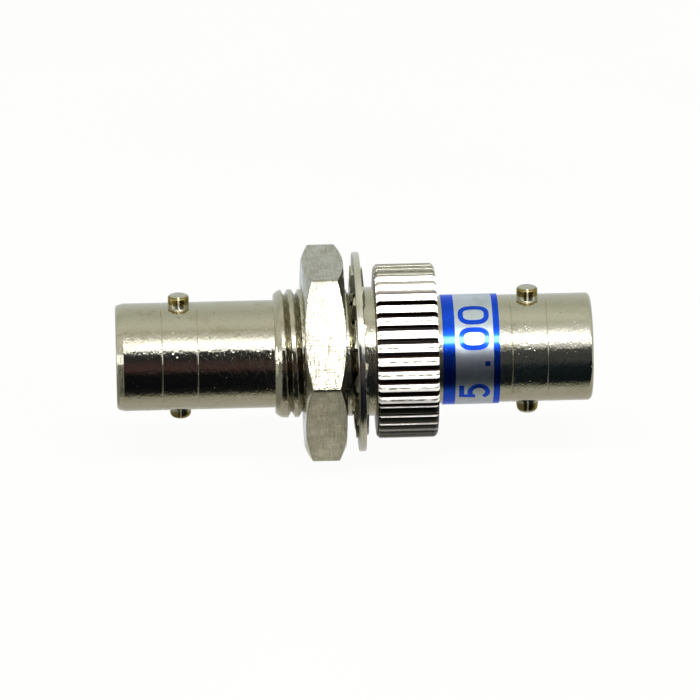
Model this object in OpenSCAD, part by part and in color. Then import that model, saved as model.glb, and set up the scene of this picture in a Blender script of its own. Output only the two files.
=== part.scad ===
// Bulkhead fibre optic attenuator with a bayonet socket at each end.
// The axis is X and the front mouth points to -X. The origin is on the axis,
// in the face of the knurled ring that seats on the panel. Sizes in millimetres.

/* [Barrels] */
// Outer diameter of both socket barrels
barrel_d = 8; // [7.6:0.1:8.6]
// Length of the front barrel, from its mouth to the thread
front_barrel_len = 11.75; // [10.8:0.05:14]
// Length of the rear barrel, from the knurled ring to its mouth
rear_barrel_len = 11.55; // [11.2:0.05:14]
// Bore at the mouth that guides the key of the plug
mouth_bore_d = 6.2; // [6.1:0.05:6.5]
// Depth of the mouth bore
mouth_bore_depth = 3.6; // [3.2:0.1:3.7]
// Bore of the chamber behind the mouth bore
chamber_d = 5.8; // [5.4:0.1:5.8]
// Depth of the chamber's floor below the mouth
floor_depth = 7; // [6.2:0.1:7.6]
// Rounding of the barrel's outer rim
rim_round = 0.35; // [0.2:0.05:0.6]
// Lead of the mouth bore
mouth_lead = 0.25; // [0.1:0.05:0.3]
// Distance of the two turned marks from the pins, to each side
mark_from_pins = 1.31; // [1:0.01:1.6]
// Width of a turned mark
mark_w = 0.08; // [0.04:0.01:0.12]
// Depth of a turned mark
mark_depth = 0.03; // [0.02:0.01:0.06]

/* [Keyway] */
// Width of the keyway in each rim
keyway_w = 1.1; // [0.9:0.1:1.5]
// Length of the keyway along the axis
keyway_len = 2.5; // [1.8:0.1:2.9]

/* [Bayonet pins] */
// Diameter of a pin's head
pin_head_d = 1.57; // [1.4:0.01:1.8]
// Diameter of a pin's shank in the barrel wall
pin_shank_d = 1; // [0.8:0.05:1.2]
// Distance from the axis to the tip of a pin
pin_reach = 4.78; // [4.6:0.01:5]
// How much prouder the lower rear pin stands
proud_pin = 0.22; // [0:0.01:0.3]
// Distance from a mouth to the centre of its pins
pin_from_mouth = 4.72; // [4.4:0.01:5]
// Chamfer of a pin's tip
pin_chamfer = 0.14; // [0.05:0.01:0.2]

/* [Panel thread] */
// Outer diameter of the thread
thread_d = 9.525; // [9.2:0.005:9.6]
// Length of the threaded stretch
thread_len = 6.6; // [6:0.1:8]
// Pitch, 32 turns to the inch
thread_pitch = 0.79375; // [0.75:0.005:0.8]
// Depth of a groove
thread_depth = 0.42; // [0.3:0.01:0.49]
// Plain stretch before the first groove
thread_plain = 0.66; // [0.4:0.01:1]
// Chamfer of the thread's front edge
thread_chamfer = 0.32; // [0.1:0.01:0.4]
// Diameter of the collar that centres the body in the panel
collar_d = 9.6; // [9.54:0.02:10.2]
// Length of the collar
collar_len = 0.9; // [0.8:0.1:1.2]

/* [Panel nut] */
// Size across the flats, just under nine sixteenths of an inch
nut_across = 14.2; // [13.6:0.01:14.6]
// Thickness of the nut
nut_thick = 3.05; // [2.5:0.01:3.4]
// Distance from the panel seat to the near face of the nut
nut_stand = 2.31; // [2.25:0.01:3]
// Angle of the corner chamfers
nut_chamfer_deg = 26; // [20:1:35]
// Chamfer at the nut's bore
nut_bore_chamfer = 0.3; // [0.1:0.05:0.5]

/* [Lock washer] */
// How far the washer's edge stands past the nut's flats
washer_past_nut = 0.325; // [0.05:0.005:0.5]
// Width of the flat rim outside the teeth
washer_rim_w = 1.32; // [1.1:0.01:1.5]
// Thickness of the sheet
washer_thick = 0.5; // [0.4:0.05:0.6]
// Distance from the panel seat to the washer's middle
washer_stand = 1.2; // [1.05:0.01:1.3]
// Lean of the loose washer in its play, its top towards the nut
washer_lean = 1; // [0:0.1:1.2]
// Number of internal teeth
tooth_count = 12; // [8:1:12]
// Width of a tooth
tooth_w = 1.9; // [1.5:0.1:1.9]
// Twist of a tooth about its own radius
tooth_twist = 25; // [10:1:25]

/* [Knurled ring] */
// Outer diameter of the ring
ring_d = 12.95; // [12.4:0.05:13.6]
// Length of the ring
ring_len = 4.5; // [4.2:0.1:5]
// Number of straight ribs
rib_count = 40; // [30:1:46]
// Turn of the ribs about the axis, in degrees
rib_turn = 1.1; // [-4.5:0.1:4.5]
// Width of a groove at the surface
groove_w = 0.36; // [0.25:0.01:0.45]
// Width of a groove at its floor
groove_floor_w = 0.2; // [0.1:0.01:0.24]
// Depth of a groove
groove_depth = 0.3; // [0.15:0.01:0.4]
// Chamfer of the ring's front edge
ring_front_chamfer = 0.22; // [0.1:0.01:0.4]
// Rounding of the ring's rear edge
ring_rear_round = 0.4; // [0.1:0.01:0.5]
// Thickness of the ring's rear lip
ring_lip = 1; // [0.8:0.1:1.2]

/* [Joint of the two bodies] */
// Diameter of the front body's spigot, which the ring screws on
spigot_d = 9; // [8.8:0.1:9.2]
// Length of the spigot
spigot_len = 2; // [1.8:0.1:2]
// Diameter of the register that centres the rear body
register_d = 7; // [6.6:0.1:7.2]
// Length of the register
register_len = 1.2; // [0.8:0.1:1.4]
// Diameter of the rear body's flange
flange_d = 8.84; // [8.6:0.02:8.84]

/* [Alignment sleeves] */
// Depth below the mouth at which a plug's ferrule tip stops
ferrule_reach = 12.2; // [12:0.05:12.6]
// Bore of a split sleeve
sleeve_bore_d = 2.5; // [2.49:0.001:2.51]
// Outer diameter of a split sleeve
sleeve_d = 3.2; // [3.1:0.05:3.3]
// Length of a split sleeve
sleeve_len = 8; // [7.8:0.1:8]
// Width of a sleeve's slit
slit_w = 0.4; // [0.2:0.05:0.6]
// Outer diameter of a sleeve holder
holder_d = 4.4; // [4.2:0.1:4.6]
// Diameter of a holder's flange
holder_flange_d = 5.6; // [5.4:0.1:5.8]
// Thickness of a holder's flange
holder_flange_len = 1; // [0.8:0.1:1.2]
// Hole in the lip that keeps the sleeve in its holder
lip_hole_d = 2.9; // [2.85:0.05:3]
// Thickness of the lip
lip_len = 0.4; // [0.3:0.05:0.4]

/* [Attenuating element] */
// Outer diameter of the lens tube
tube_d = 5.6; // [5.2:0.1:5.6]
// Diameter of the two rod lenses and the filter
lens_d = 1.8; // [1.6:0.1:2]
// Thickness of the filter disc
filter_len = 1; // [0.5:0.1:1.5]
// Gap between the filter and each lens
filter_gap = 0.1; // [0.05:0.05:0.3]

/* [Value label] */
// Bare stretch of barrel between the ring and the label
label_gap = 0.4; // [0.3:0.01:0.8]
// Width of the label
label_w = 4.2; // [3.6:0.01:4.4]
// Thickness of the label
label_thick = 0.1; // [0.08:0.01:0.14]
// Open angle at the label's seam
label_seam_deg = 8; // [2:1:20]

/* [Fits] */
// Radial clearance of the nut on its thread
run_clear = 0.06; // [0.03:0.01:0.09]
// Radial clearance of the washer's teeth over the collar
tooth_clear = 0.08; // [0.06:0.01:0.09]
// Radial clearance where one still piece sits in another
seat_clear = 0.02; // [0.01:0.005:0.03]
// Radial clearance of the ring on the spigot and the barrel
ring_clear = 0.05; // [0.03:0.01:0.06]
// Radial clearance of a sleeve in its holder
sleeve_clear = 0.05; // [0.03:0.01:0.06]

/* [Hidden] */
$fn = 96;

nickel = "#B4B3A8";
bright_nickel = "#CFCDC6";
pin_brass = "#B9A878";
label_silver = "#A9A9AB";
zirconia = "#E8E6DF";
stainless = "#8E9091";
lens_glass = "#CFE3E6";
filter_glass = "#4A4F52";

// A cut reaches this far past the face it opens.
past = 0.5;
// A washer's tooth runs this far into the flat rim.
tooth_bite = 0.2;

washer_d = nut_across + 2 * washer_past_nut;
washer_rim_d = washer_d - 2 * washer_rim_w;

thread_start_x = -collar_len - thread_len;
front_mouth_x = thread_start_x - front_barrel_len;
rear_mouth_x = ring_len + rear_barrel_len;
front_plane_x = front_mouth_x + ferrule_reach;
rear_plane_x = rear_mouth_x - ferrule_reach;
front_pin_x = front_mouth_x + pin_from_mouth;
rear_pin_x = rear_mouth_x - pin_from_mouth;

barrel_r = barrel_d / 2;
thread_r = thread_d / 2;
collar_r = collar_d / 2;
spigot_r = spigot_d / 2 - ring_clear;
chamber_r = chamber_d / 2;
mouth_bore_r = mouth_bore_d / 2;
tube_bore_r = max(tube_d, holder_flange_d) / 2 + seat_clear;
holder_bore_r = holder_d / 2 + seat_clear;
register_x = spigot_len - register_len;

// A groove's flanks stand at 30 degrees to the radius on each side.
groove_half_floor = 0.02;
groove_half_mouth = groove_half_floor + thread_depth * tan(30);
first_groove_x = thread_start_x + thread_plain + groove_half_mouth;
groove_total = floor((-collar_len - groove_half_mouth - first_groove_x) / thread_pitch) + 1;

// Turns a shape drawn about +Z to lie about the part's axis, its top to +X.
module to_rear() {
    rotate([0, 90, 0]) children();
}

// Turns a shape drawn about +Z to lie about the part's axis, its top to -X.
module to_front() {
    rotate([0, -90, 0]) children();
}

// Points on an arc about centre, in the plane of radius and length.
function arc(centre, radius, from, to, steps = 6) =
    [for (i = [0:steps]) let (a = from + (to - from) * i / steps)
        centre + radius * [cos(a), sin(a)]];

// The socket's inside, seen from its mouth at length 0, with depth counted up.
// Its last point is the foot of the shoulder that the holder's flange meets.
function socket_inside(shoulder_depth) = [
    [tube_bore_r, shoulder_depth],
    [holder_bore_r, shoulder_depth],
    [holder_bore_r, floor_depth],
    [chamber_r, floor_depth],
    [chamber_r, mouth_bore_depth],
    [mouth_bore_r, mouth_bore_depth],
    [mouth_bore_r, mouth_lead],
    [mouth_bore_r + mouth_lead, 0]
];

// The rounded outer rim of a barrel whose mouth is at length 0.
rim_outline = arc([barrel_r - rim_round, rim_round], rim_round, -90, 0);

// A fine mark turned into a barrel, as the points of its outline.
function mark(depth) = [
    [barrel_r, depth - mark_w / 2],
    [barrel_r - mark_depth, depth],
    [barrel_r, depth + mark_w / 2]
];

// A barrel's outside from its rim to past its second mark.
barrel_outside = concat(
    rim_outline,
    mark(pin_from_mouth - mark_from_pins),
    mark(pin_from_mouth + mark_from_pins)
);

// One groove of the thread, as the points of its outline from front to rear.
function groove(x) = [
    [thread_r, x - groove_half_mouth],
    [thread_r - thread_depth, x - groove_half_floor],
    [thread_r - thread_depth, x + groove_half_floor],
    [thread_r, x + groove_half_mouth]
];

// Moves socket points, whose depth counts from a mouth, to their place along X.
function placed(points, mouth_x, way) = [for (p = points) [p[0], mouth_x + way * p[1]]];

// The keyway on the far side of the rim and the two pin holes of one barrel.
// Depth counts up from the mouth at 0.
module barrel_cuts() {
    translate([-keyway_w / 2, 0, -past])
        cube([keyway_w, barrel_d, keyway_len - keyway_w / 2 + past]);
    translate([0, 0, keyway_len - keyway_w / 2])
        rotate([-90, 0, 0])
            cylinder(d = keyway_w, h = barrel_d);
    translate([0, 0, pin_from_mouth])
        rotate([0, 90, 0])
            cylinder(r = pin_shank_d / 2 + seat_clear, h = barrel_d + 2 * past, center = true);
}

module front_body() {
    shoulder_depth = ferrule_reach - holder_flange_len;
    outline = concat(
        placed(socket_inside(shoulder_depth), front_mouth_x, 1),
        placed(barrel_outside, front_mouth_x, 1),
        [
            [barrel_r, thread_start_x],
            [thread_r - thread_chamfer, thread_start_x],
            [thread_r, thread_start_x + thread_chamfer]
        ],
        [for (i = [0:groove_total - 1]) each groove(first_groove_x + i * thread_pitch)],
        [
            [thread_r, -collar_len],
            [collar_r, -collar_len],
            [collar_r, 0],
            [spigot_r, 0],
            [spigot_r, spigot_len],
            [register_d / 2 + seat_clear, spigot_len],
            [register_d / 2 + seat_clear, register_x - seat_clear],
            [tube_bore_r, register_x - seat_clear]
        ]
    );
    color(nickel)
        difference() {
            to_rear() rotate_extrude() polygon(outline);
            translate([front_mouth_x, 0, 0]) to_rear() barrel_cuts();
        }
}

module rear_body() {
    shoulder_depth = ferrule_reach - holder_flange_len;
    flange_x = spigot_len + seat_clear;
    flange_end_x = ring_len - ring_lip - seat_clear;
    outline = concat(
        placed(socket_inside(shoulder_depth), rear_mouth_x, -1),
        placed(barrel_outside, rear_mouth_x, -1),
        [
            [barrel_r, flange_end_x],
            [flange_d / 2, flange_end_x],
            [flange_d / 2, flange_x],
            [register_d / 2, flange_x],
            [register_d / 2, register_x],
            [tube_bore_r, register_x]
        ]
    );
    color(nickel)
        difference() {
            to_rear() rotate_extrude() polygon(outline);
            translate([rear_mouth_x, 0, 0]) to_front() barrel_cuts();
        }
}

// The ring's section across its axis. Each groove's flanks run on at their own
// slope past the turned surface, which then trims the ribs between them.
module rib_section() {
    floor_r = ring_d / 2 - groove_depth;
    beyond_r = ring_d / 2 + past;
    flare = (groove_w - groove_floor_w) / groove_depth;
    half_floor = asin(groove_floor_w / 2 / floor_r);
    half_beyond = asin((groove_w + past * flare) / 2 / beyond_r);
    polygon([
        for (i = [0:rib_count - 1])
            let (a = 360 * i / rib_count + rib_turn)
                each [
                    beyond_r * [cos(a - half_beyond), sin(a - half_beyond)],
                    floor_r * [cos(a - half_floor), sin(a - half_floor)],
                    floor_r * [cos(a + half_floor), sin(a + half_floor)],
                    beyond_r * [cos(a + half_beyond), sin(a + half_beyond)]
                ]
    ]);
}

module knurled_ring() {
    ring_r = ring_d / 2;
    bore_end_x = ring_len - ring_lip;
    outline = concat(
        [
            [barrel_r + ring_clear, ring_len],
            [barrel_r + ring_clear, bore_end_x],
            [spigot_d / 2, bore_end_x],
            [spigot_d / 2, 0],
            [ring_r - ring_front_chamfer, 0],
            [ring_r, ring_front_chamfer]
        ],
        arc([ring_r - ring_rear_round, ring_len - ring_rear_round], ring_rear_round, 0, 90)
    );
    color(bright_nickel)
        intersection() {
            to_rear() rotate_extrude() polygon(outline);
            to_rear() translate([0, 0, -past]) linear_extrude(ring_len + 2 * past) rib_section();
        }
}

module panel_nut() {
    bore_r = thread_r + run_clear;
    flat_r = nut_across / 2;
    corner_r = flat_r / cos(30);
    drop = (corner_r - flat_r) * tan(nut_chamfer_deg);
    outline = [
        [bore_r + nut_bore_chamfer, 0],
        [flat_r, 0],
        [corner_r, drop],
        [corner_r, nut_thick - drop],
        [flat_r, nut_thick],
        [bore_r + nut_bore_chamfer, nut_thick],
        [bore_r, nut_thick - nut_bore_chamfer],
        [bore_r, nut_bore_chamfer]
    ];
    color(bright_nickel)
        translate([-nut_stand - nut_thick, 0, 0])
            to_rear()
                intersection() {
                    rotate_extrude() polygon(outline);
                    rotate([0, 0, 90]) cylinder(r = corner_r, h = nut_thick, $fn = 6);
                }
}

module lock_washer() {
    tooth_tip_r = collar_r + tooth_clear;
    tooth_root_r = washer_rim_d / 2 + tooth_bite;
    color(nickel)
        translate([-washer_stand, 0, 0])
            rotate([0, 90 - washer_lean, 0])
                union() {
                    rotate_extrude()
                        translate([washer_rim_d / 2, -washer_thick / 2])
                            square([(washer_d - washer_rim_d) / 2, washer_thick]);
                    for (i = [0:tooth_count - 1])
                        rotate([0, 0, 360 * i / tooth_count])
                            rotate([tooth_twist, 0, 0])
                            translate([tooth_tip_r, -tooth_w / 2, -washer_thick / 2])
                                cube([tooth_root_r - tooth_tip_r, tooth_w, washer_thick]);
                }
}

// A stepped pin that stands on the barrel. Its head is drawn from inside the
// wall and the barrel's own cylinder trims its foot to a saddle.
module bayonet_pin(x, side, tip_r) {
    head_r = pin_head_d / 2;
    foot_r = chamber_r + seat_clear;
    color(pin_brass)
        translate([x, 0, 0])
            rotate([side > 0 ? 0 : 180, 0, 0])
                union() {
                    difference() {
                        translate([0, 0, chamber_r])
                            rotate_extrude()
                                polygon([
                                    [0, 0],
                                    [head_r, 0],
                                    [head_r, tip_r - chamber_r - pin_chamfer],
                                    [head_r - pin_chamfer, tip_r - chamber_r],
                                    [0, tip_r - chamber_r]
                                ]);
                        rotate([0, 90, 0])
                            cylinder(r = barrel_r + seat_clear, h = 2 * barrel_d, center = true);
                    }
                    translate([0, 0, foot_r])
                        cylinder(d = pin_shank_d, h = barrel_r + 2 * seat_clear - foot_r);
                }
}

module front_top_pin() {
    bayonet_pin(front_pin_x, 1, pin_reach);
}

module front_bottom_pin() {
    bayonet_pin(front_pin_x, -1, pin_reach);
}

module rear_top_pin() {
    bayonet_pin(rear_pin_x, 1, pin_reach);
}

module rear_bottom_pin() {
    bayonet_pin(rear_pin_x, -1, pin_reach + proud_pin);
}

// The printed strip round the rear barrel, with its seam on the far side.
module value_label() {
    inner_r = barrel_r + seat_clear / 2;
    color(label_silver)
        translate([ring_len + label_gap, 0, 0])
            to_rear()
                rotate([0, 0, 90 + label_seam_deg / 2])
                    rotate_extrude(angle = 360 - label_seam_deg)
                        translate([inner_r, 0]) square([label_thick, label_w]);
}

// A flanged tube for a split sleeve. Length counts up from the ferrule plane.
module sleeve_holder() {
    bore_r = sleeve_d / 2 + sleeve_clear;
    tip = sleeve_len + seat_clear + lip_len;
    color(nickel)
        rotate_extrude()
            polygon([
                [bore_r, 0],
                [holder_flange_d / 2, 0],
                [holder_flange_d / 2, holder_flange_len - seat_clear],
                [holder_d / 2, holder_flange_len - seat_clear],
                [holder_d / 2, tip - lip_len / 2],
                [holder_d / 2 - lip_len / 2, tip],
                [lip_hole_d / 2, tip],
                [lip_hole_d / 2, tip - lip_len],
                [bore_r, tip - lip_len]
            ]);
}

// A ceramic tube, open along one side so that it grips a ferrule.
module split_sleeve() {
    wall_mid_r = (sleeve_d + sleeve_bore_d) / 4;
    color(zirconia)
        difference() {
            rotate_extrude()
                translate([sleeve_bore_d / 2, 0])
                    square([(sleeve_d - sleeve_bore_d) / 2, sleeve_len]);
            translate([0, -slit_w / 2, -past])
                cube([2 * wall_mid_r, slit_w, sleeve_len + 2 * past]);
        }
}

module front_sleeve_holder() {
    translate([front_plane_x, 0, 0]) to_front() sleeve_holder();
}

module rear_sleeve_holder() {
    translate([rear_plane_x, 0, 0]) to_rear() sleeve_holder();
}

module front_split_sleeve() {
    translate([front_plane_x, 0, 0]) to_front() split_sleeve();
}

module rear_split_sleeve() {
    translate([rear_plane_x, 0, 0]) to_rear() split_sleeve();
}

// The tube between the two ferrule planes, with its plain bore for the optics.
module lens_tube() {
    bore_r = lens_d / 2 + seat_clear;
    tube_len = rear_plane_x - front_plane_x - 2 * seat_clear;
    color(stainless)
        translate([front_plane_x + seat_clear, 0, 0])
            to_rear()
                rotate_extrude()
                    translate([bore_r, 0]) square([tube_d / 2 - bore_r, tube_len]);
}

middle_x = (front_plane_x + rear_plane_x) / 2;
lens_len = (rear_plane_x - front_plane_x - filter_len) / 2 - filter_gap - seat_clear;

module front_lens() {
    color(lens_glass)
        translate([front_plane_x + seat_clear, 0, 0])
            to_rear() cylinder(d = lens_d, h = lens_len);
}

module rear_lens() {
    color(lens_glass)
        translate([rear_plane_x - seat_clear, 0, 0])
            to_front() cylinder(d = lens_d, h = lens_len);
}

module filter_disc() {
    color(filter_glass)
        translate([middle_x, 0, 0])
            to_rear() cylinder(d = lens_d, h = filter_len, center = true);
}

front_body();
rear_body();
knurled_ring();
panel_nut();
lock_washer();
front_top_pin();
front_bottom_pin();
rear_top_pin();
rear_bottom_pin();
value_label();
front_sleeve_holder();
rear_sleeve_holder();
front_split_sleeve();
rear_split_sleeve();
lens_tube();
front_lens();
rear_lens();
filter_disc();
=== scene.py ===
import math
from functools import partial

import bmesh
import bpy
import numpy as np
from bpy.props import FloatProperty, FloatVectorProperty, IntProperty, PointerProperty
from mathutils import Matrix, Vector


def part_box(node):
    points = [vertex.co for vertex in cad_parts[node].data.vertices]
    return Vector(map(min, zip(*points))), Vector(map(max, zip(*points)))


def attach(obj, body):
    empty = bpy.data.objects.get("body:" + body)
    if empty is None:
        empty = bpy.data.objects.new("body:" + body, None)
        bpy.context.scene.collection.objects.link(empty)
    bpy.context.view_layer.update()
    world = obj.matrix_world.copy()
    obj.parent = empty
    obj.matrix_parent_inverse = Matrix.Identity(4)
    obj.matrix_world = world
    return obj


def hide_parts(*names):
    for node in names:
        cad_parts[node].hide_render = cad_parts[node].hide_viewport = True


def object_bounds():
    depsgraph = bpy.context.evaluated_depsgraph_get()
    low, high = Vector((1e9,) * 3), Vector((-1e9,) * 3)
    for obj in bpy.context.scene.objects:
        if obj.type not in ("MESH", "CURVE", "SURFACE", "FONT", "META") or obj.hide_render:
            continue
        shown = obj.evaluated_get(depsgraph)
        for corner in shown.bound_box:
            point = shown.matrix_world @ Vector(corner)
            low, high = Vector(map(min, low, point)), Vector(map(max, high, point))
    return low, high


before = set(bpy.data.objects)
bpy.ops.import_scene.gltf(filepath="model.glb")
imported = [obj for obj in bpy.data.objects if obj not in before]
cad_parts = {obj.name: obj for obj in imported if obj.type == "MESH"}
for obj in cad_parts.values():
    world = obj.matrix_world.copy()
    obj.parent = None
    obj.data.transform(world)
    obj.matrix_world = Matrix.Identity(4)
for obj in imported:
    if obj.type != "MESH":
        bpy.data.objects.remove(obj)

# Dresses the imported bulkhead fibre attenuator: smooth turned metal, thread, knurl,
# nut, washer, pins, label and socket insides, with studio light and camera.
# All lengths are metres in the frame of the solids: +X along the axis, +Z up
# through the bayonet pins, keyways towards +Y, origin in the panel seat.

bl_info = {
    "name": "Bulkhead fibre attenuator",
    "version": (1, 0, 0),
    "blender": (4, 5, 0),
    "location": "3D View > Sidebar > Attenuator",
    "description": "Makes the finished pieces of a bulkhead fibre attenuator and its studio",
    "category": "Add Mesh",
}

MM = 0.001
SOLID_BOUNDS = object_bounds()


def linear(hex_colour):
    """Linear colour of an sRGB hex value such as #B4B3A8."""
    values = [int(hex_colour[i:i + 2], 16) / 255 for i in (1, 3, 5)]
    return [v / 12.92 if v <= 0.04045 else ((v + 0.055) / 1.055) ** 2.4 for v in values]


def length(name, description, default_mm):
    """A size property that is given in millimetres and kept in metres."""
    return FloatProperty(name=name, description=description, default=default_mm * MM,
                         min=0.0, unit="LENGTH", precision=5)


def angle(name, description, default_deg):
    """An angle property that is given in degrees."""
    return FloatProperty(name=name, description=description, subtype="ANGLE",
                         default=math.radians(default_deg))


def colour(name, description, hex_colour):
    """A colour property given as sRGB hex."""
    return FloatVectorProperty(name=name, description=description, subtype="COLOR", size=3,
                               min=0.0, max=1.0, default=linear(hex_colour))


class AttenuatorSizes(bpy.types.PropertyGroup):
    barrel_d: length("Barrel diameter", "Outer diameter of both socket barrels", 8.0)
    rim_round: length("Rim rounding", "Rounding of the rear barrel's outer rim", 0.35)
    rim_corner: length("Front rim corner", "Rounding of the front barrel's mouth edge", 0.28)
    rim_taper: length("Front rim taper", "Length of the front rim up to its border line", 0.55)
    mouth_bore_d: length("Mouth bore", "Bore that guides the plug's key", 6.2)
    mouth_bore_depth: length("Mouth bore depth", "Depth of the mouth bore", 3.6)
    mouth_lead: length("Mouth lead", "Chamfer of the mouth bore", 0.25)
    chamber_d: length("Chamber bore", "Bore behind the mouth bore", 5.8)
    floor_depth: length("Chamber depth", "Depth of the chamber's floor", 7.0)
    keyway_w: length("Keyway width", "Width of the keyway in each rim", 1.1)
    keyway_len: length("Keyway length", "Length of the keyway along the axis", 2.5)
    mark_from_pins: length("Mark spacing", "From a pin to each turned mark", 1.31)
    mark_w: length("Mark width", "Width of a turned mark", 0.09)
    mark_depth: length("Mark depth", "Depth of a turned mark", 0.03)
    pin_head_d: length("Pin head", "Diameter of a bayonet pin's head", 1.57)
    pin_shank_d: length("Pin shank", "Diameter of a pin in the wall", 1.0)
    pin_chamfer: length("Pin chamfer", "Chamfer of a pin's tip", 0.12)
    thread_d: length("Thread diameter", "Outer diameter of the panel thread", 9.525)
    thread_len: length("Thread length", "Length of the threaded stretch", 6.6)
    thread_pitch: length("Pitch", "Travel in one turn", 0.79375)
    thread_depth: length("Thread depth", "Depth of the groove", 0.42)
    thread_plain: length("Plain lead", "Stretch before the groove starts", 0.64)
    thread_crown: length("Thread crown", "Length over which the thread's front end rises", 0.68)
    thread_drop: length("Thread drop", "How far the thread's front end is turned down", 0.36)
    collar_d: length("Collar diameter", "Collar that centres the panel", 9.6)
    collar_len: length("Collar length", "Length of the collar", 0.9)
    spigot_d: length("Spigot diameter", "Spigot inside the ring", 8.9)
    spigot_len: length("Spigot length", "Length of that spigot", 2.0)
    flange_d: length("Flange diameter", "Rear body's flange in the ring", 8.84)
    nut_bore_d: length("Nut bore", "Bore of the nut over its thread", 9.645)
    nut_bore_chamfer: length("Nut bore chamfer", "Chamfer at the nut's bore", 0.3)
    nut_edge: length("Nut edge", "Rounding of the nut's corners", 0.15)
    washer_rim_w: length("Washer rim", "Width of the flat rim outside the teeth", 1.32)
    tooth_w: length("Tooth width", "Width of a washer tooth", 1.9)
    ring_chamfer: length("Ring chamfer", "Chamfer of the ring's front edge", 0.22)
    ring_round: length("Ring rounding", "Rounding of the ring's rear edge", 0.4)
    groove_w: length("Groove width", "Width of a knurl groove at the surface", 0.34)
    groove_floor_w: length("Groove floor", "Width of a knurl groove at its floor", 0.2)
    groove_depth: length("Groove depth", "Depth of a knurl groove", 0.3)
    rib_crown: length("Rib crown", "How far a rib's middle stands over its sides", 0.03)
    stripe_left: length("Wide stripe", "Width of the blue stripe next to the ring", 0.9)
    stripe_right: length("Narrow stripe", "Width of the other blue stripe", 0.47)
    figure_h: length("Figure height", "Height of the figures on the label", 2.3)
    figure_w: length("Figure width", "Width of a figure", 1.75)
    stroke_w: length("Stroke width", "Width of a figure's stroke", 0.38)
    rib_count: IntProperty(name="Ribs", description="Straight ribs round the ring", default=40,
                           min=30, max=46)
    tooth_count: IntProperty(name="Teeth", description="Internal teeth of the washer",
                             default=12, min=8, max=12)
    tooth_twist: angle("Tooth twist", "Twist of a tooth about its radius", 25)
    rib_turn: angle("Rib turn", "Turn of the ribs about the axis", 1.1)
    rim_slope: angle("Rim slope", "Slope of the front rim's taper", 16)
    washer_lean: angle("Washer lean", "Lean of the loose washer", 1)
    nut_chamfer: angle("Nut chamfer", "Angle of the nut's corner chamfers", 26)


class AttenuatorFinish(bpy.types.PropertyGroup):
    nickel: colour("Nickel", "Plating of the turned bodies", "#C9C6B6")
    bright_nickel: colour("Bright nickel", "Plating of the nut", "#D0CEC2")
    satin_nickel: colour("Satin nickel", "Plating of the ring", "#E8E5DE")
    worn_nickel: colour("Worn nickel", "Plating where it is thin or stained", "#A39E83")
    brass: colour("Brass", "Bare brass where plating is worn", "#94854E")
    steel: colour("Lens tube", "Stainless tube of the lenses", "#8E9091")
    foil: colour("Foil", "Silver foil of the label", "#DEE9F7")
    ink: colour("Ink", "Blue ink of the label", "#0A57FF")
    zirconia: colour("Zirconia", "Ceramic of the split sleeves", "#E8E6DF")
    lens_glass: colour("Lens glass", "Rod lenses", "#CFE3E6")
    filter_glass: colour("Filter glass", "Grey filter disc", "#4A4F52")


def settings(context):
    """The sizes and the finishes that the sidebar shows."""
    return context.scene.attenuator_sizes, context.scene.attenuator_finish


# Mesh helpers. Points closer together than the weld, in metres, become one.

WELD = 2e-8


def grid_faces(rows, columns, wrap_rows, wrap_columns):
    """Quads between neighbouring points of a grid that is numbered row by row."""
    r = np.arange(rows if wrap_rows else rows - 1)
    c = np.arange(columns if wrap_columns else columns - 1)
    r, c = np.meshgrid(r, c, indexing="ij")
    r2, c2 = (r + 1) % rows, (c + 1) % columns
    quads = [r * columns + c, r * columns + c2, r2 * columns + c2, r2 * columns + c]
    return np.stack(quads, -1).reshape(-1, 4)


def shell(points, wrap_rows, wrap_columns, *caps):
    """Points and faces of a grid of points, with the faces of any caps."""
    faces = grid_faces(*points.shape[:2], wrap_rows, wrap_columns)
    return points.reshape(-1, 3), [faces, *caps]


def signed_volume(points, faces):
    """Sixth of the sum of triple products of a fan over each face."""
    corners = points[faces]
    fan = np.einsum("ij,ij->i", corners[:, 0], np.cross(corners[:, 1], corners[:, 2]))
    if faces.shape[1] == 4:
        fan = fan + np.einsum("ij,ij->i", corners[:, 0], np.cross(corners[:, 2], corners[:, 3]))
    return fan.sum() / 6


def link_object(name, data):
    """An object of the scene that holds a mesh, a light or a camera."""
    made = bpy.data.objects.new(name, data)
    bpy.context.scene.collection.objects.link(made)
    return made


def new_mesh(name, points, faces):
    """A mesh of points and faces, without edges of its own."""
    mesh = bpy.data.meshes.new(name)
    mesh.from_pydata(np.asarray(points).tolist(), [], faces)
    return mesh


def mend(mesh, *steps):
    """Runs steps of bmesh work on a mesh."""
    work = bmesh.new()
    work.from_mesh(mesh)
    for step in steps:
        step(work)
    work.to_mesh(mesh)
    work.free()


def closed_piece(name, shells, finish, sharp_deg, cutters=()):
    """One mesh object from closed shells, each a list of points and faces.

    A shell whose signed volume is negative is turned over, so faces point outwards.
    Cutters are taken out of the piece. The finish says its material, the body it
    rides on, its slot, which is not used, and the node that it stands for.
    """
    points, faces, start = [], [], 0
    for shell_points, face_sets in shells:
        volume = sum(signed_volume(shell_points, f) for f in face_sets)
        for f in face_sets:
            faces += ((f if volume > 0 else f[:, ::-1]) + start).tolist()
        points.append(shell_points)
        start += len(shell_points)
    mesh = new_mesh(name, np.concatenate(points), faces)
    mend(mesh, lambda work: bmesh.ops.remove_doubles(work, verts=work.verts, dist=WELD),
         lambda work: bmesh.ops.dissolve_degenerate(work, edges=work.edges, dist=WELD))
    piece = link_object(name, mesh)
    if cutters:
        apply_cuts(piece, cutters)
    piece.data.shade_smooth()
    piece.data.set_sharp_from_angle(angle=math.radians(sharp_deg))
    material, body, slot, node = finish
    piece.data.materials.clear()
    piece.data.materials.append(material)
    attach(piece, body)
    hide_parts(node)


def full_turn(steps):
    """Equal angles round a full turn."""
    return np.arange(steps) * 2 * math.pi / steps


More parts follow.
